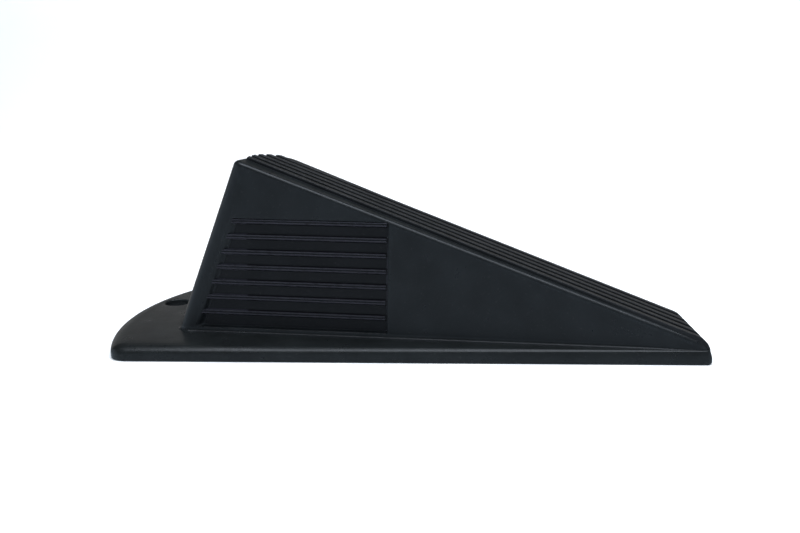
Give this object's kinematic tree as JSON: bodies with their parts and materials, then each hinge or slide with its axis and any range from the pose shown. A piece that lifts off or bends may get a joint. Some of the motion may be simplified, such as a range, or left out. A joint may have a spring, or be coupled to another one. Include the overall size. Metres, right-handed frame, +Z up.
{
  "type": "door stop",
  "caption": "Rubber door wedge on a flared base plate, with a ribbed slope, ribbed finger grips in both sides and a hanging hole in its rounded heel.",
  "frame": {"origin": "centre of the bounding box's base, on the floor that the door stop rests on", "axes": "+X from the heel to the toe, +Z up from the floor, +Y across to the far side"},
  "size_m": [0.172, 0.089, 0.0527],
  "materials": {
    "wedge_rubber": "satin",
    "plate_rubber": "satin",
    "tread_rubber": "satin",
    "grip_rubber": "satin",
    "pad_rubber": "matt"
  },
  "bodies": {
    "root": {"wedge_body": "wedge_rubber", "sole_plate": "plate_rubber", "tread_pad": "tread_rubber", "grip_panel_near": "grip_rubber", "grip_panel_far": "grip_rubber", "floor_pad": "pad_rubber"}
  },
  "joints": []
}
